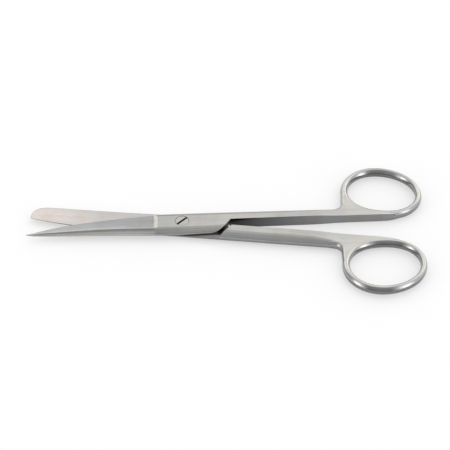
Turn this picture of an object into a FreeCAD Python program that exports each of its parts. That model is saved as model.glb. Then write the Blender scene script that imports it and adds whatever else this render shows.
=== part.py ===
import FreeCAD, Part
import math
import os

V = FreeCAD.Vector

# Millimetres and degrees. Each half is drawn closed: pivot axis at the origin, rings towards +X, lap face at Z 0.

# Joint
joint_half = 2.27       # half the thickness of the joint
lap_play = 0.05         # gap between the two lap faces
rest_angle = 4.46       # each half stands this far from closed in the photograph
crown = 1.06            # side rounding is this much taller than the flats, which leaves a soft arris

# Blades
blade_start = -8.0      # where the cutting edge starts, beside the joint
belly_x = -30.0         # the blade starts to thin in earnest here
blade_end = -57.0       # the thickness is measured to here, just past both tips
sharp_tip_half = 0.55   # thickness of the sharp point
blunt_tip_half = 0.75   # thickness of the blunt end
edge_land = 0.25        # flat left along the cutting edge
land_end = -50.0        # past here the land is thinner
tip_land = 0.18
ridge_level = 0.93      # ridge height as a share of the blade thickness
spine_round = 1.5       # width of the spine rounding as a share of the thickness
hollow = 0.03           # depth of the hollow grind as a share of its width

# Step where the grinding wheel ran out
step_top = -8.8
step_foot = -10.6
step_floor = 0.5        # the step stands square up to this height
step_shoulder = 2.0     # and rolls over from about this height

# Outlines from above, rings to the right, from the joint to the tip
sharp_spine = [(14.0, -4.85), (-3.0, -5.12), (-26.0, -4.15), (-42.0, -3.62), (-50.0, -3.3), (-56.0, -2.75)]
sharp_edge = [(blade_start, 5.3), (-22.0, 4.05), (-36.0, 2.4), (-46.0, 0.5), (-54.6, -1.87)]
sharp_tip = (-56.36, -2.42)
sharp_back = (-53.6, -3.1)      # the point is ground back to here on the spine side
blunt_spine = [(14.0, -4.7), (-3.0, -4.7), (-26.0, -4.12), (-40.0, -4.02), (-58.0, -3.6)]
blunt_edge = [(blade_start, 5.6), (-24.0, 4.75), (-41.7, 3.95), (-55.0, 2.3)]
blunt_nose = (-55.75, 1.0)      # the blunt end is straight across down to here
blunt_back = (-51.5, -3.6)      # and rounded from there to here

# Outer sides of joint and shank, from the tips to the rings
sharp_outer = [(-60.0, 5.1), (0.0, 5.05), (14.0, 4.95), (30.0, 4.75), (60.0, 4.3)]
blunt_outer = [(-60.0, 5.45), (0.0, 5.4), (14.0, 5.4), (40.0, 5.35), (60.0, 5.25)]

# Lap end and shoulder
lap_corner = (14.0, -4.85)
lap_corner_radius = 5.9
lap_corner_run = 0.06   # the rounding runs this far out past the spine side
shoulder_angle = 54.0
shoulder_gap = 0.45     # between a lap end and the other half's shoulder when closed
lap_root = 2.0          # the lap reaches this far into its own shank

# Shanks
wall_y = 0.1            # inner wall of each shank from the centre line
taper_start = 46.0      # shanks thin from here
taper_end = 60.0        # to here
handle_half = 1.8
outer_flat = 1.6        # start of the rounding on the outer side

# Web between shank and ring
web_start = 50.0
wall_end = 74.0         # the inner wall leaves the centre line here
wall_fade = 8.0         # and meets the ring this much further on
wall_bow = 0.45         # sideways by this at the middle of that stretch
wall_rise = 2.0         # and by this at its end
web_end_half = 0.9      # thickness where the web runs out inside the ring
web_depth = 6.0         # inside the ring's metal

# Rings
ring_x = 73.65
ring_y = 12.65
ring_mean = 12.5
ring_oval = 1.22
ring_tilt = -14.0
ring_egg = 0.16
egg_direction = 32.0
ring_width = 2.55
ring_width_change = 0.17
ring_thick = 3.76
ring_seam = 45.0        # the ring is drawn in two halves from here
ring_step = 15.0

# Rounded branch from shank to ring
corner_radius = 3.0     # concave corner between shank and ring
corner_x = 55.2
branch_width = 2.8
branch_thick = 3.7
branch_root = 5.2       # the branch starts this far before the corner, hidden in the shank
root_inset = 0.35       # deeper by this
root_thinner = 1.2      # and thinner by this
branch_meets = 170.0    # angle at which it has run into the ring
branch_end_narrow = 0.3  # and where it is thinner by this, inside the ring

# Screw
head_radius = 2.45
head_thick = 1.0
head_sunk = 0.04
slot_width = 0.6
slot_depth = 0.55
slot_angle = 42.0
journal_radius = 1.6
thread_radius = 1.5
running_play = 0.05     # radial play of the turning half on the screw
under_head_play = 0.03
end_chamfer = 0.12

# Drawing aids
KAPPA = 0.5523          # cubic arm that draws a quarter of an ellipse
REACH = 8.0             # outside everything across the shanks
TALL = joint_half + ring_thick  # above and below everything
STATION = 10.0          # spacing of the sections along a side
SPAN = 60.0             # sides are drawn from here to here along X


def rad(angle):
    return math.radians(angle)


def flat_point(pair):
    return V(pair[0], pair[1], 0)


def line(a, b):
    return Part.makeLine(a, b)


def chain(points):
    return [line(a, b) for a, b in zip(points, points[1:])]


def quarter(start, corner, end):
    curve = Part.BezierCurve()
    curve.setPoles([start, start + (corner - start) * KAPPA, end + (corner - end) * KAPPA, end])
    return curve.toShape()


def bezier(poles):
    curve = Part.BezierCurve()
    curve.setPoles(poles)
    return curve


def spline(points):
    curve = Part.BSplineCurve()
    curve.interpolate([flat_point(p) for p in points])
    return curve


def at_x(curve, x):
    # Height of a curve at X, run on straight past its ends.
    low, high = curve.FirstParameter, curve.LastParameter
    start, end = curve.value(low), curve.value(high)
    if not min(start.x, end.x) <= x <= max(start.x, end.x):
        near = low if abs(start.x - x) < abs(end.x - x) else high
        place, slope = curve.value(near), curve.tangent(near)[0]
        return place.y + (x - place.x) * slope.y / slope.x
    falling = start.x > end.x
    for _ in range(40):
        middle = (low + high) / 2
        if (curve.value(middle).x > x) == falling:
            low = middle
        else:
            high = middle
    return curve.value(low).y


def closed_wire(edges):
    return Part.Wire(Part.__sortEdges__(edges))


def prism(edges, low=-TALL, high=TALL):
    face = Part.Face(closed_wire(edges))
    face.translate(V(0, 0, low))
    return face.extrude(V(0, 0, high - low))


def across(edges):
    # Solid from a side view drawn in the XZ plane.
    face = Part.Face(closed_wire(edges))
    face.translate(V(0, -2 * REACH, 0))
    return face.extrude(V(0, 4 * REACH, 0))


def stations(low, high):
    count = round((high - low) / STATION)
    return [low + (high - low) * n / count for n in range(count + 1)]


class Half:
    # One forging: its blade outline, spine and outer side, given along X.
    def __init__(self, spine, edge, outer, tip_half, tip_edges):
        self.spine = spline(spine)
        self.edge = spline(edge)
        self.outer = spline(outer)
        self.tip_edges = tip_edges
        self.side_view = bezier([V(step_top, joint_half, 0), V(belly_x, joint_half, 0), V(blade_end, tip_half, 0)])

    def thick(self, x):
        return at_x(self.side_view, x) if x < step_top else joint_half

    def spine_y(self, x):
        return at_x(self.spine, x)

    def outer_y(self, x):
        return at_x(self.outer, x)


def sharp_end(edge_end):
    # The edge runs straight into the point, which is ground back to the spine.
    tip, back = flat_point(sharp_tip), flat_point(sharp_back)
    return [line(edge_end, tip), line(tip, back)], back


def blunt_end(edge_end):
    # Rounded corner, straight across, rounded into the spine.
    nose, back = flat_point(blunt_nose), flat_point(blunt_back)
    size = edge_end.x - nose.x
    across_start = V(nose.x, edge_end.y - size, 0)
    edges = [quarter(edge_end, V(nose.x, edge_end.y, 0), across_start), line(across_start, nose)]
    return edges + [quarter(nose, V(nose.x, back.y, 0), back)], back


def thickness_slab(half):
    # Side view of the half, as wide as needed: blade thinning to the tip, flat joint, thinner handle.
    middle = (taper_start + taper_end) / 2
    fade_start, fade_end = wall_end - wall_rise, wall_end + wall_fade + wall_rise
    blade = bezier([V(p.x, 0, p.y) for p in half.side_view.getPoles()])
    taper = bezier([V(taper_start, 0, joint_half), V(middle, 0, joint_half), V(middle, 0, handle_half),
                    V(taper_end, 0, handle_half)])
    fade = bezier([V(fade_start, 0, handle_half), V(wall_end + wall_rise, 0, handle_half),
                   V(fade_end, 0, web_end_half)])
    flat = line(V(step_top, 0, joint_half), V(taper_start, 0, joint_half))
    level = line(V(taper_end, 0, handle_half), V(fade_start, 0, handle_half))
    upper = [blade.toShape(), flat, taper.toShape(), level, fade.toShape()]
    lower = [e.mirror(V(0, 0, 0), V(0, 0, 1)) for e in upper]
    tip, end = blade.getPole(3), V(fade_end, 0, web_end_half)
    ends = [line(p, V(p.x, 0, -p.z)) for p in (tip, end)]
    return across(upper + lower + ends)


def side_loft(sections, sign):
    # Bar whose one side is rounded. A section is x, side y, start of the rounding y, half height.
    wires = []
    for x, side, flat, rise in sections:
        far = -sign * 2 * REACH
        low, high, point = V(x, flat, -rise), V(x, flat, rise), V(x, side, 0)
        edges = [line(V(x, far, -rise), low), quarter(low, V(x, side, -rise), point)]
        edges += [quarter(point, V(x, side, rise), high), line(high, V(x, far, rise))]
        wires.append(Part.Wire(edges + [line(V(x, far, rise), V(x, far, -rise))]))
    return Part.makeLoft(wires, True)


def outer_side(half):
    rise = crown * joint_half
    return side_loft([(x, half.outer_y(x), outer_flat, rise) for x in stations(-SPAN, SPAN)], 1)


def spine_side(half):
    sections = []
    for x in stations(-SPAN, lap_corner[0] + lap_corner_radius):
        thick, side = half.thick(x), half.spine_y(x)
        sections.append((x, side, side + spine_round * thick, crown * thick))
    return side_loft(sections, -1)


def blade_plan(half):
    # Plan of blade and lap: cutting edge, tip, room for the rounded spine, rounded and slanting lap end.
    lead = half.edge.value(half.edge.FirstParameter)
    tip_edges, back = half.tip_edges(half.edge.value(half.edge.LastParameter))
    angle = rad(shoulder_angle)
    corner = flat_point(lap_corner)
    along = V(math.cos(angle), math.sin(angle), 0)
    inward = V(-math.sin(angle / 2), math.cos(angle / 2), 0)
    reach = lap_corner_radius * math.tan(angle / 2)
    arc_start = corner - V(reach, lap_corner_run, 0)
    arc_end = corner + along * reach
    bow = corner + inward * lap_corner_radius * (1 / math.cos(angle / 2) - 1)
    wall = arc_end + along * ((wall_y - arc_end.y) / along.y)
    root = wall.x + lap_root
    under = [back, V(back.x + REACH, -REACH, 0), V(arc_start.x - REACH / 2, -REACH, 0), arc_start]
    over = [arc_end, wall, V(root, wall_y, 0), V(root, REACH, 0), V(lead.x, REACH, 0), lead]
    lap_end = Part.Arc(arc_start, bow, arc_end).toShape()
    return prism([half.edge.toShape()] + tip_edges + chain(under) + [lap_end] + chain(over), lap_play / 2)


def shank_plan():
    # Shank at full thickness, starting at the diagonal shoulder that faces the other half's lap end.
    angle = rad(shoulder_angle)
    slide = (wall_y - lap_corner[1]) / math.tan(angle)
    face_x = lap_corner[0] + slide + shoulder_gap / math.sin(angle)
    back_x = face_x - (REACH - wall_y) / math.tan(angle)
    corners = [V(face_x, wall_y, 0), V(taper_end, wall_y, 0), V(taper_end, REACH, 0), V(back_x, REACH, 0)]
    return prism(chain(corners + corners[:1]))


def hollow_section(half, x):
    # Circle through ridge and edge, run on past both, closed above the blade.
    rise = half.thick(x)
    level = ridge_level / crown
    ridge_in = spine_round * rise * (1 - math.sqrt(1 - level * level))
    ridge = V(x, half.spine_y(x) + ridge_in, ridge_level * rise)
    edge = V(x, at_x(half.edge, x), edge_land if x > land_end else tip_land)
    span = edge - ridge
    width = span.Length
    normal = V(0, -span.z, span.y) / width
    sag = hollow * width
    radius = (width * width / 4 + sag * sag) / (2 * sag)
    centre = (ridge + edge) / 2 + normal * (radius - sag)
    over = 1.5 * math.asin(width / 2 / radius)

    def on_circle(turn):
        return centre + span / width * (radius * math.sin(turn)) - normal * (radius * math.cos(turn))

    start, end = on_circle(-over), on_circle(over)
    roof = [end, V(x, end.y, 2 * TALL), V(x, start.y, 2 * TALL), start]
    return Part.Wire([Part.Arc(start, on_circle(0), end).toShape()] + chain(roof))


def hollow_cutter(half):
    # The wheel's path along the blade. It ends in a rolled-over step beside the joint.
    length = STATION * 0.8
    first = blade_end - 1
    count = round((step_top - first) / length) + 1
    cutter = Part.makeLoft([hollow_section(half, first + n * length) for n in range(count + 1)], True)
    foot, top = V(step_foot, 0, step_floor), V(step_top, 0, joint_half)
    roll = bezier([foot, V(step_foot, 0, step_shoulder), top])
    sky, past = 3 * TALL, blade_end - REACH
    around = [top, V(step_top, 0, sky), V(past, 0, sky), V(past, 0, -TALL), V(step_foot, 0, -TALL), foot]
    return cutter.common(across([roll.toShape()] + chain(around)))


def ring_point(angle):
    t = rad(angle)
    oval = ring_oval * math.cos(2 * (t - rad(ring_tilt)))
    egg = ring_egg * math.cos(3 * (t - rad(egg_direction)))
    r = ring_mean + oval - egg
    return V(ring_x + r * math.cos(t), ring_y + r * math.sin(t), 0)


def oval_section(place, heading, width, thick):
    side = V(-math.sin(heading), math.cos(heading), 0) * (width / 2)
    return Part.Wire([Part.Ellipse(place + V(0, 0, thick / 2), place + side, place).toShape()])


def ring_heading(angle):
    ahead = ring_point(angle + 0.5) - ring_point(angle - 0.5)
    return math.atan2(ahead.y, ahead.x)


def ring_section(angle):
    width = ring_width - ring_width_change * math.cos(rad(angle))
    return oval_section(ring_point(angle), ring_heading(angle), width, ring_thick)


def ring():
    count = round(180 / ring_step)
    halves = []
    for start in (ring_seam, ring_seam + 180):
        sections = [ring_section(start + 180 * n / count) for n in range(count + 1)]
        halves.append(Part.makeLoft(sections, True))
    return halves[0].fuse(halves[1])


def branch_path(half):
    # Centre line of the branch: where its quarter turn starts, the turn's radius, and where it ends.
    start = V(corner_x, half.outer_y(corner_x) - branch_width / 2, 0)
    radius = corner_radius + branch_width / 2
    return start, radius, start + V(radius, radius, 0)


def on_turn(half, turn):
    start, radius, _ = branch_path(half)
    return start + V(math.sin(turn), 1 - math.cos(turn), 0) * radius


def branch(half):
    # Rounded corner of the forging, where the outer side of the shank turns into the ring.
    start, radius, arc_end = branch_path(half)
    rise = ring_point(branch_meets) - arc_end
    lean = ring_heading(branch_meets) + rad(90)
    sections = []
    for n in range(3):
        deep = (1 - n / 3) ** 2
        place = start + V(branch_root * (n / 3 - 1), -root_inset * deep, 0)
        thin = root_thinner * deep
        sections.append(oval_section(place, 0, branch_width - thin, branch_thick - thin))
    for n in range(5):
        turn = rad(90) * n / 4
        sections.append(oval_section(on_turn(half, turn), turn, branch_width, branch_thick))
    for n in range(1, 5):
        share = n / 4
        narrow = branch_end_narrow * share
        heading = rad(90) + lean * share
        sections.append(oval_section(arc_end + rise * share, heading, branch_width - narrow, branch_thick - narrow))
    return Part.makeLoft(sections, True)


def web_plan(half):
    # Flat between shank and ring, and the inner wall that runs on along the ring.
    start, _, arc_end = branch_path(half)
    wall = V(wall_end, wall_y, 0)
    bow = V(wall_end + wall_fade / 2, wall_y + wall_bow, 0)
    fade = V(wall_end + wall_fade, wall_y + wall_rise, 0)
    turn = Part.Arc(start, on_turn(half, rad(45)), arc_end).toShape()
    inside = [fade, fade + V(0, web_depth, 0), ring_point(branch_meets), arc_end]
    low = [start, V(start.x, outer_flat, 0), V(web_start, outer_flat, 0), V(web_start, wall_y, 0), wall]
    hole = Part.BSplineCurve()
    hole.interpolate([ring_point(a) for a in range(0, 360, 30)], PeriodicFlag=True)
    web = prism([Part.Arc(wall, bow, fade).toShape(), turn] + chain(inside) + chain(low))
    return web.cut(prism([hole.toShape()]))


def forge(half):
    plan = blade_plan(half).common(spine_side(half)).fuse(shank_plan())
    body = plan.common(outer_side(half)).fuse(web_plan(half)).common(thickness_slab(half))
    body = body.cut(hollow_cutter(half))
    return body.fuse(branch(half)).fuse(ring()).removeSplitter()


def cylinder(radius, low, high):
    return Part.makeCylinder(radius, high - low, V(0, 0, low))


def bored_for_head(body):
    seat = joint_half - head_sunk - head_thick - under_head_play
    body = body.cut(cylinder(journal_radius + running_play, -TALL, TALL))
    return body.cut(cylinder(head_radius + running_play, seat, TALL))


def bored_for_thread(body):
    size = 2 * end_chamfer
    body = body.cut(cylinder(thread_radius, 0, TALL))
    return body.cut(Part.makeCone(thread_radius, thread_radius + size, size, V(0, 0, joint_half - end_chamfer)))


def screw():
    # Slotted head on top, plain journal in the upper half, thread in the lower half.
    top = joint_half - head_sunk
    under = top - head_thick
    head = cylinder(head_radius, under, top)
    head = head.makeChamfer(end_chamfer, [e for e in head.Edges if e.BoundBox.ZMin > top - end_chamfer])
    length = 4 * head_radius
    slot = Part.makeBox(length, slot_width, TALL, V(-length / 2, -slot_width / 2, top - slot_depth))
    slot.rotate(V(0, 0, 0), V(0, 0, 1), slot_angle)
    journal = cylinder(journal_radius, -lap_play / 2, under)
    thread = cylinder(thread_radius, -joint_half, -lap_play / 2)
    thread = thread.makeChamfer(end_chamfer, [e for e in thread.Edges if e.BoundBox.ZMax < end_chamfer - joint_half])
    return head.cut(slot).fuse([journal, thread]).removeSplitter()


def placed(shape, turn):
    shape = shape.copy()
    shape.rotate(V(0, 0, 0), V(0, 0, 1), turn)
    shape.translate(V(0, 0, joint_half))
    return shape


def main():
    sharp = Half(sharp_spine, sharp_edge, sharp_outer, sharp_tip_half, sharp_end)
    blunt = Half(blunt_spine, blunt_edge, blunt_outer, blunt_tip_half, blunt_end)
    bottom = bored_for_thread(forge(blunt))
    bottom.rotate(V(0, 0, 0), V(1, 0, 0), 180)
    os.makedirs("parts", exist_ok=True)
    placed(bored_for_head(forge(sharp)), rest_angle).exportStep("parts/sharp_half.step")
    placed(bottom, -rest_angle).exportStep("parts/blunt_half.step")
    placed(screw(), rest_angle).exportStep("parts/screw.step")


main()
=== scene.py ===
import math

import bpy
from mathutils import Matrix, Vector


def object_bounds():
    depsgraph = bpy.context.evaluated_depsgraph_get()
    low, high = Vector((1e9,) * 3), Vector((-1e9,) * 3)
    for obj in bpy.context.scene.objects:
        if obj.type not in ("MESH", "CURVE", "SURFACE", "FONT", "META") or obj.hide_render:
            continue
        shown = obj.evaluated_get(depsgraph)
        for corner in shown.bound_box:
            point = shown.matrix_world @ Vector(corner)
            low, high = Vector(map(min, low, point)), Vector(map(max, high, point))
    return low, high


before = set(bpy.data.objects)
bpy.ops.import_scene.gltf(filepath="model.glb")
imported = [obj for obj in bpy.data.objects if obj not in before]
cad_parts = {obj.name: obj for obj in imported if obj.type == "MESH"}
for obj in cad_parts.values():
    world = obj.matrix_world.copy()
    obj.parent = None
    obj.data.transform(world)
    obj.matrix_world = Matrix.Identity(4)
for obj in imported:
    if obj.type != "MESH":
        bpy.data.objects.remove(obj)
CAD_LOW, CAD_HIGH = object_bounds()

bl_info = {
    "name": "Surgical scissors",
    "version": (1, 0, 0),
    "blender": (4, 5, 0),
    "location": "View3D > Sidebar > Scissors",
    "description": "Satin steel for both halves and the screw, and a pale studio",
    "category": "Object",
}

MM = 0.001

# Turn of each half at rest, and places along it, measured from the pivot towards the rings
REST_ANGLE = math.radians(4.46)
TIP = -55.0 * MM
TIP_TONE_STARTS = -16.0 * MM
STEP_ENDS = -10.9 * MM
GRIND_FULL = -9.6 * MM
GRIND_STARTS = -8.8 * MM
LAP_STARTS = -3.0 * MM
JOINT_ENDS = 6.0 * MM
WALL_STARTS = 16.0 * MM
SHOULDER_ENDS = 27.0 * MM
WEB_STARTS = 45.0 * MM
WALL_CLEARS = 55.0 * MM
RING_STARTS = 58.0 * MM
WEB_FULL = 68.0 * MM

# Distances outward from the pivot's line between which the ring leaves the inner wall
WALL_LEAVES_RING = (12.0 * MM, 9.0 * MM)

# Softness of the zones' ends along the half
STEP_SOFT = 0.1 * MM
STEP_OVERLAP = 0.3 * MM
SHOULDER_SOFT = 1.0 * MM
LAP_SOFT = 2.5 * MM
RING_SOFT = 3.0 * MM

# Slopes, as parts of the surface's normal, where each finish, painted shade or painted highlight
# starts and where it is full
SLOPES = {
    "lap_face": (-0.90, -0.97),
    "wall": (-0.90, -0.97),
    "by_wall": (-0.3, -0.6),
    "ground_side": (0.02, 0.08),
    "ground_top": (0.2, 0.5),
    "hollow": (0.14, 0.32),
    "hollow_rim": (0.292, 0.322),
    "ridge": (0.94, 0.975),
    "spine_highlight": (-0.5, -0.75),
    "edge": (0.75, 0.92),
    "step": (-0.08, -0.25),
    "shoulder_steep": (0.6, 0.3),
    "shoulder_end": (0.15, 0.4),
    "web": (0.93, 0.985),
    "rounded": (0.92, 0.75),
    "upright": (0.45, 0.15),
    "facing_down": (-0.05, -0.35),
    "not_flat": (0.985, 0.93),
    "hoop_top": (0.6, 0.78),
    "hoop_low": (0.25, 0.0),
    "hoop_end": (0.1, 0.25),
    "hoop_not_side": (0.5, 0.3),
    "hoop_not_end": (0.35, 0.15),
    "long_sides": (0.35, 0.6),
}

# Slopes between which the painted shade bands lie, and the softness of their ends
BANDS = {
    "below_ridge": (-0.64, -0.40, 0.05),
    "rolled": (0.86, 0.978, 0.015),
    "leaning": (0.2, 0.85, 0.1),
}

# Flattened ring sides: the tilts they lie between, their slope at the middle and its growth
SIDE_TILTS = (0.15, 0.75)
SIDE_SLOPE = 0.44
SIDE_SLOPE_GROWTH = 0.12

# Marks as noise: scale, detail and roughness
MOTTLE = (110.0, 3.0, 0.55)
WARMTH = (190.0, 2.0, 0.5)
SHEEN = (260.0, 2.0, 0.5)
STREAKS = (1500.0, 3.0, 0.6)
BRUSHING = (2600.0, 4.0, 0.6)
TURNED_PATCHES = (1500.0, 2.0, 0.6)
FIBRE = (900.0, 3.0, 0.6)
STREAK_STRETCH = 0.04
BRUSH_STRETCH = 0.05
MARK_DEPTH = 0.01 * MM

# Darkest and lightest tones that the marks give, the painted shade and painted highlight across the
# hollow grind by its slope, and the painted highlight along its rim
MOTTLE_TONES = (0.94, 1.055)
STREAK_TONES = (0.955, 1.045)
HOLLOW_PAINTED_SHADING = (0.86, 1.34)
HOLLOW_RIM_PAINTED_HIGHLIGHT = (1.0, 1.22)
COOL_TINT = (0.985, 1.0, 1.022)
WARM_TINT = (1.015, 1.0, 0.978)
# How fast the painted shade on the inner walls deepens towards the joint
GAP_SHADE_FALLOFF = 1.3

# What the marks take from the roughness and add to it
BRUSH_ROUGHNESS = (-0.03, 0.04)
SHEEN_ROUGHNESS = (-0.02, 0.03)
SCREW_ROUGHNESS = (-0.02, 0.08)

# The screw: half width of the slot, its rims darkened by painted shade, and the turning marks
JOINT_MIDDLE = (CAD_LOW.z + CAD_HIGH.z) / 2
HEAD_TOP = CAD_HIGH.z - 0.04 * MM
SLOT_HALF = 0.3 * MM
SLOT_SOFT = 0.04 * MM
SLOT_DEPTHS = (0.02 * MM, 0.06 * MM)
SLOT_ANGLE = REST_ANGLE + math.radians(42.0)
RIM_WIDTHS = (0.14 * MM, 0.06 * MM)
RIM_PAINTED_SHADE = 0.85
HEAD_SOFT = 0.1 * MM
TURNING_SCALE = 3200.0
TURNING_DISTORTION = 1.5
TURNING_SHARE = 0.4

# The photograph's camera
LOOK_DOWN = math.radians(45.0)
TURN = math.radians(2.986)
ROLL = math.radians(-1.050)
DISTANCE = 502.45 * MM
SLIDE_RIGHT = 15.51 * MM
SLIDE_UP = 0.04 * MM
IMAGE_SIDE = 450
FOCAL_PIXELS = 1385.7
SENSOR_WIDTH = 36.0
CLIP_START = 0.01
CLIP_END = 20.0

# The floor
FLOOR_REACH = 3.0
FIBRE_DEPTH = 0.02 * MM
FIBRE_STRENGTH = 0.05

# Soft panels of the studio: azimuth from straight behind and elevation in degrees, brightness,
# and half width in degrees
PANELS = {
    "back": (32.0, 35.0, 1.08, 38.0),
    "back_left": (-45.0, 27.0, 0.90, 22.0),
    "back_right": (50.0, 4.0, 0.45, 22.0),
    "right": (96.0, 8.0, 0.50, 22.0),
    "right_low": (128.0, 1.0, 2.70, 12.0),
    "right_middle": (131.0, 22.0, 1.10, 13.0),
    "right_high": (123.0, 48.0, 0.70, 15.0),
    "left_low": (-121.0, 5.0, 2.70, 12.0),
    "left_high": (-114.0, 36.0, 0.90, 16.0),
    "top": (3.0, 80.0, 0.55, 24.0),
    "front": (180.0, 33.0, 0.31, 27.0),
}


class Graph:
    """Places and joins the nodes of one material or world."""

    def __init__(self, tree):
        self.tree = tree
        self.tree.nodes.clear()

    def node(self, kind, inputs=None, **settings):
        made = self.tree.nodes.new(kind)
        for name, value in settings.items():
            setattr(made, name, value)
        for key, value in (inputs or {}).items():
            self.feed(made.inputs[key], value)
        return made

    def feed(self, socket, value):
        if isinstance(value, bpy.types.NodeSocket):
            self.tree.links.new(value, socket)
        else:
            socket.default_value = value

    def math(self, operation, a, b=0.0, clamp=False):
        made = self.node("ShaderNodeMath", {0: a, 1: b}, operation=operation, use_clamp=clamp)
        return made.outputs[0]

    def ramp(self, value, low, high, to_low=0.0, to_high=1.0, kind="SMOOTHSTEP"):
        inputs = {"Value": value, "From Min": low, "From Max": high,
                  "To Min": to_low, "To Max": to_high}
        return self.node("ShaderNodeMapRange", inputs, interpolation_type=kind).outputs[0]

    def between(self, share, low, high):
        """low where the share is 0 and high where it is 1."""
        return self.ramp(share, 0.0, 1.0, low, high)

    def spread(self, noise, low, high):
        """Noise, which lies mostly between 0.3 and 0.7, brought to a range."""
        return self.ramp(noise, 0.3, 0.7, low, high)

    def blend(self, share, a, b):
        made = self.node("ShaderNodeMix", data_type="RGBA", clamp_factor=True)
        self.feed(made.inputs[0], share)
        self.feed(made.inputs[6], a)
        self.feed(made.inputs[7], b)
        return made.outputs[2]

    def noise(self, vector, scale, detail=2.0, roughness=0.5):
        inputs = {"Vector": vector, "Scale": scale, "Detail": detail, "Roughness": roughness}
        return self.node("ShaderNodeTexNoise", inputs).outputs["Fac"]


def color(value):
    return (*value, 1.0)


def color_setting(name, description, default):
    return bpy.props.FloatVectorProperty(
        name=name, description=description, default=default, subtype="COLOR", min=0, max=1)


def amount_setting(name, description, default, low=0, high=1):
    return bpy.props.FloatProperty(
        name=name, description=description, default=default, min=low, max=high)


def radius_setting(name, description, default):
    return bpy.props.FloatProperty(
        name=name, description=description, default=default, min=0, max=1 * MM, unit="LENGTH",
        precision=5)


class SteelSettings(bpy.types.PropertyGroup):
    satin: color_setting("Satin steel", "Brushed flats and rings", (0.412, 0.404, 0.386))
    side: color_setting(
        "Rolled sides", "Rounded sides of shanks and rings, a little cooler",
        (0.418, 0.419, 0.422))
    web: color_setting(
        "Web", "Flats between shank and ring, where hands have polished them",
        (0.494, 0.484, 0.459))
    # Painted highlight: the tops of the rings' ends and of their sides by the inner wall are
    # lighter
    ring_end_highlight: color_setting(
        "Ring ends", "Tops of the rings' round ends, lit by a painted highlight", (0.560, 0.548, 0.520))
    ground: color_setting(
        "Hollow grind", "Ground blade faces beside the joint", (0.415, 0.416, 0.421))
    ground_tip: color_setting(
        "Hollow grind at the tip", "The same faces at the tip", (0.545, 0.538, 0.537))
    # Painted highlight on the sloping sides of the blades' backs
    spine_highlight: color_setting(
        "Blade backs", "Painted_highlight sides of the blades' backs", (0.600, 0.592, 0.578))
    inner: color_setting(
        "Lap faces", "Flat faces that slide on each other", (0.455, 0.438, 0.424))
    inner_tip: color_setting(
        "Lap faces at the tip", "The same faces where they are cleanest", (0.610, 0.562, 0.535))
    # Painted shade on the lap faces round the screw, where the other half shades them
    lap: color_setting(
        "Lap round the joint", "The same faces round the screw, dark with painted_joint_shade",
        (0.170, 0.168, 0.166))
    # Painted shade: a dark line along the upright lands of the cutting edges
    edge: color_setting(
        "Edge lands", "Narrow upright lands along the cutting edges", (0.040, 0.038, 0.036))
    # Painted highlight on the roll where the grinding ends
    step: color_setting("Step", "Painted_highlight roll where the grinding ends", (0.660, 0.640, 0.590))
    wall: color_setting(
        "Inner walls", "Milled walls between the shanks, near the rings", (0.400, 0.400, 0.405))
    # Painted shade on the inner walls, darkest near the joint where the gap narrows
    deep_shade: color_setting(
        "Deep places", "The same walls near the joint, dark with tarnish", (0.028, 0.027, 0.027))
    # Painted shade in the notches at the ends of the lap joint
    shoulder_shade: color_setting(
        "Shoulders", "Ends of the lap joint, dark with painted_joint_shade", (0.060, 0.059, 0.058))
    screw: color_setting("Screw steel", "Head and end of the screw", (0.430, 0.423, 0.395))
    # Painted shade: the inside of the slot is near black
    slot: color_setting("Slot", "Inside of the screw's slot", (0.012, 0.012, 0.012))
    # Painted shade: these darken the colour on rolled edges, upright sides, undersides and the
    # rings' long and low sides
    rolled_shade: amount_setting(
        "Rolled edges", "How much duller the rolled edges are than the flats", 0.18)
    side_shade: amount_setting(
        "Sides", "How much duller the upright sides are than the flats", 0.36)
    underside_shade: amount_setting(
        "Undersides", "How much duller the lower rolled edges are than the flats", 0.40)
    hoop_shade: amount_setting(
        "Ring sides", "How much duller the long sides of the rings are than their ends", 0.26)
    roughness: amount_setting("Roughness", "Satin of the brushed steel", 0.19, 0.05, 0.8)
    ring_gloss: amount_setting(
        "Ring gloss", "How much smoother hands have made the rings", 0.07, high=0.1)
    grain: amount_setting("Grain", "Depth of the brushing marks", 0.2)
    arris: radius_setting("Edge break", "Radius that polishing has put on the arrises", 0.15 * MM)
    blade_arris: radius_setting(
        "Blade edge break", "The same radius on the blades, where the buff ran longer", 0.3 * MM)


class StudioSettings(bpy.types.PropertyGroup):
    floor: color_setting("Floor", "Colour of the floor", (0.98, 0.98, 0.98))
    backdrop: amount_setting(
        "Lit backdrop", "Share of the floor's own even white in what is seen of it", 0.5)
    surround: amount_setting(
        "Surround", "Brightness of the room between the panels", 0.275, high=2)


def new_material(name):
    material = bpy.data.materials.new(name)
    material.use_nodes = True
    return material, Graph(material.node_tree)


def half_coordinates(graph, turn):
    """Place and normal in the half's own directions, with X along its shank and blade."""
    source = graph.node("ShaderNodeTexCoord")
    turned = {"Rotation": (0, 0, -turn)}
    place = graph.node("ShaderNodeMapping", {"Vector": source.outputs["Object"], **turned})
    facing = graph.node(
        "ShaderNodeMapping", {"Vector": source.outputs["Normal"], **turned}, vector_type="NORMAL")
    return place.outputs[0], facing.outputs[0]


def stretched(graph, place, along, across):
    """Coordinates for marks that run long one way and are fine the other way."""
    inputs = {"Vector": place, "Scale": (along, across, across)}
    return graph.node("ShaderNodeMapping", inputs).outputs[0]


def product(graph, *shares):
    total = shares[0]
    for share in shares[1:]:
        total = graph.math("MULTIPLY", total, share)
    return total


def within(graph, value, low, high, soft):
    """1 between low and high, with soft ends."""
    return product(graph, graph.ramp(value, low - soft, low + soft),
                   graph.ramp(value, high + soft, high - soft))


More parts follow.
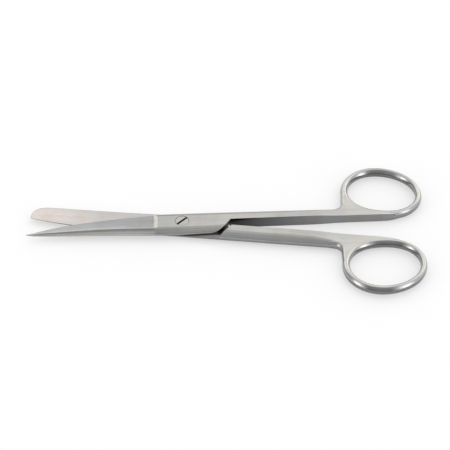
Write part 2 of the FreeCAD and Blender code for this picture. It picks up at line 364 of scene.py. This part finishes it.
def zones(graph, place, facing, side):
    """Where each finish, painted shade and painted highlight lies on a half. side is 1 for the
    upper half and -1 for the lower one.

    lengthways, sideways and upward are the parts of the surface's normal along the half,
    away from the other shank, and away from the lap face.
    """
    spot = graph.node("ShaderNodeSeparateXYZ", {0: place}).outputs
    parts = graph.node("ShaderNodeSeparateXYZ", {0: facing}).outputs
    x = spot[0]
    outward = graph.math("MULTIPLY", spot[1], side)
    lengthways, above = parts[0], parts[2]
    sideways = graph.math("MULTIPLY", parts[1], side)
    upward = graph.math("MULTIPLY", above, side)
    level = graph.math("ABSOLUTE", upward)
    endwise = graph.math("ABSOLUTE", lengthways)
    crosswise = graph.math("ABSOLUTE", sideways)

    def slope(part, name):
        return graph.ramp(part, *SLOPES[name])

    def band(part, name):
        return within(graph, part, *BANDS[name])

    blade = graph.ramp(x, GRIND_STARTS, STEP_ENDS)
    lap_face = slope(upward, "lap_face")
    hoop = graph.ramp(x, RING_STARTS - RING_SOFT, RING_STARTS + RING_SOFT)
    by_wall = product(graph, slope(sideways, "by_wall"), graph.ramp(outward, *WALL_LEAVES_RING))
    off_wall = product(graph, hoop, graph.math("SUBTRACT", 1.0, by_wall))
    ends = product(graph, slope(endwise, "hoop_end"), slope(crosswise, "hoop_not_side"))
    return {
        "blade": blade,
        "towards_tip": graph.ramp(x, TIP_TONE_STARTS, TIP),
        "ground": product(
            graph, graph.ramp(x, GRIND_STARTS, GRIND_FULL), slope(sideways, "ground_side"),
            slope(upward, "ground_top")),
        "hollow": slope(sideways, "hollow"),
        "hollow_rim": slope(sideways, "hollow_rim"),
        "ridge": product(graph, blade, slope(upward, "ridge")),
        # Band of painted shade below the ridge
        "below_ridge": product(graph, blade, band(sideways, "below_ridge")),
        # Painted highlight on the blades' backs
        "spine_highlight": product(graph, blade, slope(sideways, "spine_highlight")),
        # Painted shade along the edge lands
        "edge": product(graph, blade, slope(sideways, "edge")),
        # Painted highlight on the step
        "step": product(
            graph, within(graph, x, STEP_ENDS, GRIND_STARTS + STEP_OVERLAP, STEP_SOFT),
            slope(lengthways, "step")),
        "inner": product(graph, lap_face, graph.ramp(x, JOINT_ENDS, 0.0)),
        # Painted shade on the lap faces round the screw
        "lap": product(graph, lap_face, within(graph, x, LAP_STARTS, WALL_STARTS, LAP_SOFT)),
        # Painted shade in the notches at the ends of the lap joint
        "shoulder_shade": product(
            graph, slope(level, "shoulder_steep"),
            within(graph, x, JOINT_ENDS, SHOULDER_ENDS, SHOULDER_SOFT),
            slope(endwise, "shoulder_end")),
        "wall": product(
            graph, slope(sideways, "wall"), graph.ramp(x, WALL_STARTS, WALL_STARTS + 1.0 * MM)),
        # Where the painted shade on the inner walls grows towards the joint
        "wall_depth": graph.ramp(x, WALL_CLEARS, WALL_STARTS, kind="LINEAR"),
        "web": product(graph, slope(level, "web"), graph.ramp(x, WEB_STARTS, WEB_FULL)),
        "rounded": slope(level, "rounded"),
        # Masks of painted shade on rolled edges, upright sides and undersides
        "rolled": product(
            graph, band(level, "rolled"), graph.ramp(x, WALL_CLEARS, WEB_STARTS)),
        "upright": slope(level, "upright"),
        "underside": product(graph, slope(above, "facing_down"), slope(level, "not_flat")),
        "hoop": hoop,
        # Mask of the painted highlight on the rings' tops
        "ring_top_highlight": product(
            graph, hoop, slope(level, "hoop_top"), graph.math("MAXIMUM", by_wall, ends)),
        # Masks of painted shade on the rings' low and long sides
        "hoop_low": product(graph, off_wall, slope(above, "hoop_low")),
        "hoop_sides": product(
            graph, off_wall, band(level, "leaning"), slope(endwise, "hoop_not_end")),
        "long_sides": product(graph, off_wall, slope(crosswise, "long_sides")),
    }


def flattened(graph, normal, share):
    """Normals of sides that polishing has made flatter: nearly one slope from top to middle."""
    parts = graph.node("ShaderNodeSeparateXYZ", {0: normal}).outputs
    tilt = graph.math("ABSOLUTE", parts[2])
    low, high = SIDE_TILTS
    slope = graph.math("ADD", graph.ramp(tilt, 0.0, low, 0.0, SIDE_SLOPE),
                       graph.ramp(tilt, low, high, 0.0, SIDE_SLOPE_GROWTH))
    rest = 1.0 - SIDE_SLOPE - SIDE_SLOPE_GROWTH
    slope = graph.math("ADD", slope, graph.ramp(tilt, high, 1.0, 0.0, rest))
    slope = graph.math("MULTIPLY", slope, graph.math("SIGN", parts[2]))
    change = graph.math("MULTIPLY", graph.math("SUBTRACT", slope, parts[2]), share)
    rise = graph.math("ADD", parts[2], change)
    turned = graph.node("ShaderNodeCombineXYZ", {0: parts[0], 1: parts[1], 2: rise}).outputs[0]
    made = graph.node("ShaderNodeVectorMath", {0: turned}, operation="NORMALIZE")
    return made.outputs["Vector"]


def steel_surface(graph, base, roughness, height, grain, arris, flatness=0.0):
    """Bare metal with rounded arrises and fine marks. flatness is the share of flattened sides."""
    bevel = graph.node("ShaderNodeBevel", {"Radius": arris}, samples=6)
    bump = graph.node("ShaderNodeBump", {
        "Strength": grain, "Distance": MARK_DEPTH, "Height": height,
        "Normal": flattened(graph, bevel.outputs[0], flatness)})
    shader = graph.node("ShaderNodeBsdfPrincipled", {
        "Base Color": base, "Metallic": 1.0, "Roughness": roughness, "Normal": bump.outputs[0]})
    graph.node("ShaderNodeOutputMaterial", {"Surface": shader.outputs[0]})


def toned(graph, base, tone):
    """A colour made lighter or darker by one number."""
    made = graph.node("ShaderNodeVectorMath", {0: base, "Scale": tone}, operation="SCALE")
    return made.outputs["Vector"]


def mottled(graph, place, base):
    """Slow, slight unevenness in the colour that a satin finish shows, from warm to cool."""
    patch = graph.noise(place, *MOTTLE)
    warmth = graph.ramp(graph.noise(place, *WARMTH), 0.35, 0.65)
    tint = graph.blend(warmth, color(COOL_TINT), color(WARM_TINT))
    tinted = graph.node("ShaderNodeVectorMath", {0: base, 1: tint}, operation="MULTIPLY")
    return toned(graph, tinted.outputs["Vector"], graph.spread(patch, *MOTTLE_TONES))


def half_color(graph, zone, settings):
    """The zones' colours laid over each other, the later ones on top."""
    inner = graph.blend(zone["towards_tip"], color(settings.inner), color(settings.inner_tip))
    # Painted shade on the inner walls, darkest near the joint
    painted_gap_shade = graph.math("POWER", zone["wall_depth"], GAP_SHADE_FALLOFF)
    wall = graph.blend(painted_gap_shade, color(settings.wall), color(settings.deep_shade))
    grind = graph.blend(zone["towards_tip"], color(settings.ground), color(settings.ground_tip))
    # Painted shade and painted highlight across the hollow grind by its slope, and a painted
    # highlight along its rim
    grind = toned(graph, grind, graph.between(zone["hollow"], *HOLLOW_PAINTED_SHADING))
    grind = toned(graph, grind, graph.between(zone["hollow_rim"], *HOLLOW_RIM_PAINTED_HIGHLIGHT))
    base = color(settings.satin)
    layers = (
        ("web", color(settings.web)), ("rounded", color(settings.side)),
        ("ring_top_highlight", color(settings.ring_end_highlight)), ("ridge", color(settings.web)),
        ("spine_highlight", color(settings.spine_highlight)), ("inner", inner), ("lap", color(settings.lap)),
        ("ground", grind), ("edge", color(settings.edge)), ("step", color(settings.step)),
        ("wall", wall), ("shoulder_shade", color(settings.shoulder_shade)))
    for name, layer in layers:
        base = graph.blend(zone[name], base, layer)
    return base


def half_steel(name, turn, side, settings):
    """Steel of one half: brushed along the shank, wheel marks across the hollow grind."""
    material, graph = new_material(name)
    place, facing = half_coordinates(graph, turn)
    zone = zones(graph, place, facing, side)
    base = mottled(graph, place, half_color(graph, zone, settings))
    streaks = graph.noise(stretched(graph, place, STREAK_STRETCH, 1.0), *STREAKS)
    base = toned(graph, base, graph.spread(streaks, *STREAK_TONES))
    # Painted shade: rolled edges, the band below the ridge, upright sides, undersides and the
    # rings' long and low sides darkened by their slope
    darker_by_painted_shade = {
        "rolled": settings.rolled_shade, "below_ridge": settings.rolled_shade,
        "upright": settings.side_shade, "underside": settings.underside_shade,
        "hoop_sides": settings.hoop_shade, "hoop_low": settings.hoop_shade}
    for where, shade in darker_by_painted_shade.items():
        base = toned(graph, base, graph.between(zone[where], 1.0, 1.0 - shade))
    along = graph.noise(stretched(graph, place, BRUSH_STRETCH, 1.0), *BRUSHING)
    across = graph.noise(stretched(graph, place, 1.0, BRUSH_STRETCH), *BRUSHING)
    marks = graph.node("ShaderNodeMix", {0: zone["ground"], 2: along, 3: across}).outputs[0]
    rough = graph.math("ADD", graph.spread(marks, *BRUSH_ROUGHNESS),
                       graph.spread(graph.noise(place, *SHEEN), *SHEEN_ROUGHNESS))
    glossy = settings.roughness - settings.ring_gloss
    rough = graph.math("ADD", rough, graph.between(zone["hoop"], settings.roughness, glossy))
    arris = graph.between(zone["blade"], settings.arris, settings.blade_arris)
    steel_surface(graph, base, rough, marks, settings.grain, arris, zone["long_sides"])
    return material


def screw_steel(name, settings):
    """Turned steel: fine rings round the head, with the slot and its rims darkened as painted
    shade.
    """
    material, graph = new_material(name)
    place = graph.node("ShaderNodeTexCoord").outputs["Object"]
    inputs = {"Vector": place, "Rotation": (0, 0, -SLOT_ANGLE)}
    turned = graph.node("ShaderNodeMapping", inputs).outputs[0]
    parts = graph.node("ShaderNodeSeparateXYZ", {0: turned}).outputs
    off_middle, height = graph.math("ABSOLUTE", parts[1]), parts[2]
    head = graph.ramp(height, JOINT_MIDDLE, JOINT_MIDDLE + HEAD_SOFT)
    top, bottom = (HEAD_TOP - depth for depth in SLOT_DEPTHS)
    # Painted shade inside the slot
    slot = product(graph, graph.ramp(off_middle, SLOT_HALF + SLOT_SOFT, SLOT_HALF),
                   graph.ramp(height, top, bottom), head)
    # Painted shade on the head's top along the slot's rims
    outer, inner = (SLOT_HALF + width for width in RIM_WIDTHS)
    rim = product(graph, graph.ramp(off_middle, outer, inner), head)
    rim_shade = graph.math("MULTIPLY", rim, RIM_PAINTED_SHADE)
    base = graph.blend(rim_shade, color(settings.screw), color(settings.slot))
    base = mottled(graph, place, graph.blend(slot, base, color(settings.slot)))
    inputs = {"Vector": place, "Scale": TURNING_SCALE, "Distortion": TURNING_DISTORTION,
              "Detail": 2.0, "Detail Scale": 2.0}
    turning = graph.node("ShaderNodeTexWave", inputs, wave_type="RINGS", rings_direction="Z")
    patches = graph.noise(place, *TURNED_PATCHES)
    marks = graph.math("ADD", graph.math("MULTIPLY", turning.outputs["Fac"], TURNING_SHARE),
                       graph.math("MULTIPLY", patches, 1.0 - TURNING_SHARE))
    smooth, coarse = (settings.roughness + change for change in SCREW_ROUGHNESS)
    rough = graph.spread(patches, smooth, coarse)
    steel_surface(graph, base, rough, marks, settings.grain, settings.arris)
    return material


def dress(node, material):
    """Gives a solid of the frame its finish, and leaves its mesh as it is."""
    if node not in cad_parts:
        raise RuntimeError(f"the frame has no node {node}")
    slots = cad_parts[node].material_slots
    if not slots:
        raise RuntimeError(f"{node} has no material slot")
    for slot in slots:
        slot.material = material


class SCISSORS_OT_sharp_half(bpy.types.Operator):
    """Finish the upper half, with the sharp point"""

    bl_idname = "scissors.sharp_half"
    bl_label = "Sharp half"

    def execute(self, context):
        settings = context.scene.scissors_steel
        dress("sharp_half", half_steel("sharp_half_steel", REST_ANGLE, 1.0, settings))
        return {"FINISHED"}


class SCISSORS_OT_blunt_half(bpy.types.Operator):
    """Finish the lower half, with the blunt end"""

    bl_idname = "scissors.blunt_half"
    bl_label = "Blunt half"

    def execute(self, context):
        settings = context.scene.scissors_steel
        dress("blunt_half", half_steel("blunt_half_steel", -REST_ANGLE, -1.0, settings))
        return {"FINISHED"}


class SCISSORS_OT_screw(bpy.types.Operator):
    """Finish the slotted joint screw"""

    bl_idname = "scissors.screw"
    bl_label = "Joint screw"

    def execute(self, context):
        dress("screw", screw_steel("joint_screw_steel", context.scene.scissors_steel))
        return {"FINISHED"}


def towards(azimuth, elevation):
    """Direction from azimuth and elevation in degrees. 0 is straight behind, 90 to the right."""
    a, e = math.radians(azimuth), math.radians(elevation)
    return Vector((math.sin(a) * math.cos(e), math.cos(a) * math.cos(e), math.sin(e)))


def make_floor(settings):
    """A wide sheet of pale paper, partly lit from within where it is seen."""
    mesh = bpy.data.meshes.new("floor")
    corners = [(-FLOOR_REACH, -FLOOR_REACH, 0), (FLOOR_REACH, -FLOOR_REACH, 0),
               (FLOOR_REACH, FLOOR_REACH, 0), (-FLOOR_REACH, FLOOR_REACH, 0)]
    mesh.from_pydata(corners, [], [(0, 1, 2, 3)])
    floor = bpy.data.objects.new("floor", mesh)
    floor.location.z = CAD_LOW.z
    bpy.context.scene.collection.objects.link(floor)
    material, graph = new_material("pale_paper")
    place = graph.node("ShaderNodeTexCoord").outputs["Object"]
    fibre = graph.noise(place, *FIBRE)
    bump = graph.node("ShaderNodeBump", {
        "Strength": FIBRE_STRENGTH, "Distance": FIBRE_DEPTH, "Height": fibre})
    paper = graph.node(
        "ShaderNodeBsdfDiffuse", {"Color": color(settings.floor), "Normal": bump.outputs[0]})
    white = graph.node("ShaderNodeEmission", {"Color": (1, 1, 1, 1), "Strength": 1.0})
    rays = graph.node("ShaderNodeLightPath").outputs
    seen = graph.math("ADD", rays["Is Camera Ray"], rays["Is Glossy Ray"])
    seen = graph.math("ADD", seen, rays["Is Transmission Ray"], clamp=True)
    lit = graph.math("MULTIPLY", seen, settings.backdrop)
    shader = graph.node(
        "ShaderNodeMixShader", {0: lit, 1: paper.outputs[0], 2: white.outputs[0]})
    graph.node("ShaderNodeOutputMaterial", {"Surface": shader.outputs[0]})
    mesh.materials.append(material)


def make_world(settings):
    """A dim room with soft panels on every side of the object and above it."""
    world = bpy.data.worlds.new("studio")
    world.use_nodes = True
    bpy.context.scene.world = world
    graph = Graph(world.node_tree)
    direction = graph.node("ShaderNodeTexCoord").outputs["Generated"]
    total = settings.surround
    for azimuth, elevation, brightness, half_width in PANELS.values():
        sharpness = math.log(2) / (1 - math.cos(math.radians(half_width)))
        dot = graph.node("ShaderNodeVectorMath", {0: direction, 1: towards(azimuth, elevation)},
                         operation="DOT_PRODUCT")
        power = graph.math("MULTIPLY", graph.math("SUBTRACT", dot.outputs["Value"], 1.0), sharpness)
        glow = graph.math("MULTIPLY", graph.math("EXPONENT", power), brightness)
        total = graph.math("ADD", glow, total)
    background = graph.node("ShaderNodeBackground", {"Color": (1, 1, 1, 1), "Strength": total})
    graph.node("ShaderNodeOutputWorld", {"Surface": background.outputs[0]})


def make_camera():
    """The photograph's own viewpoint, fitted to the outline of the object."""
    back = Vector((math.sin(TURN) * math.cos(LOOK_DOWN), -math.cos(TURN) * math.cos(LOOK_DOWN),
                   math.sin(LOOK_DOWN)))
    level = Vector((math.cos(TURN), math.sin(TURN), 0))
    over = back.cross(level)
    right = math.cos(ROLL) * level + math.sin(ROLL) * over
    up = math.cos(ROLL) * over - math.sin(ROLL) * level
    data = bpy.data.cameras.new("camera")
    data.sensor_width = SENSOR_WIDTH
    data.lens = FOCAL_PIXELS * SENSOR_WIDTH / IMAGE_SIDE
    data.clip_start, data.clip_end = CLIP_START, CLIP_END
    camera = bpy.data.objects.new("camera", data)
    place = Vector((0, 0, JOINT_MIDDLE)) + DISTANCE * back + SLIDE_RIGHT * right + SLIDE_UP * up
    turned = Matrix((right, up, back)).transposed().to_4x4()
    camera.matrix_world = Matrix.Translation(place) @ turned
    bpy.context.scene.collection.objects.link(camera)
    bpy.context.scene.camera = camera


class SCISSORS_OT_stage(bpy.types.Operator):
    """Set up the floor, the soft light and the photograph's camera"""

    bl_idname = "scissors.stage"
    bl_label = "Studio"

    def execute(self, context):
        settings = context.scene.scissors_studio
        make_floor(settings)
        make_world(settings)
        make_camera()
        context.scene.view_settings.view_transform = "Standard"
        return {"FINISHED"}


class SCISSORS_PT_panel(bpy.types.Panel):
    """Lists the pieces and their finishes"""

    bl_label = "Surgical scissors"
    bl_space_type = "VIEW_3D"
    bl_region_type = "UI"
    bl_category = "Scissors"

    def draw(self, context):
        for operator in OPERATORS:
            self.layout.operator(operator.bl_idname)
        for settings in (context.scene.scissors_steel, context.scene.scissors_studio):
            box = self.layout.box()
            for name in settings.__annotations__:
                box.prop(settings, name)


OPERATORS = (SCISSORS_OT_sharp_half, SCISSORS_OT_blunt_half, SCISSORS_OT_screw, SCISSORS_OT_stage)
CLASSES = (SteelSettings, StudioSettings, *OPERATORS, SCISSORS_PT_panel)


def register():
    for made in CLASSES:
        bpy.utils.register_class(made)
    bpy.types.Scene.scissors_steel = bpy.props.PointerProperty(type=SteelSettings)
    bpy.types.Scene.scissors_studio = bpy.props.PointerProperty(type=StudioSettings)


def unregister():
    del bpy.types.Scene.scissors_studio
    del bpy.types.Scene.scissors_steel
    for made in reversed(CLASSES):
        bpy.utils.unregister_class(made)


def main():
    register()
    bpy.ops.scissors.sharp_half()
    bpy.ops.scissors.blunt_half()
    bpy.ops.scissors.screw()
    bpy.ops.scissors.stage()


if __name__ == "__main__":
    main()
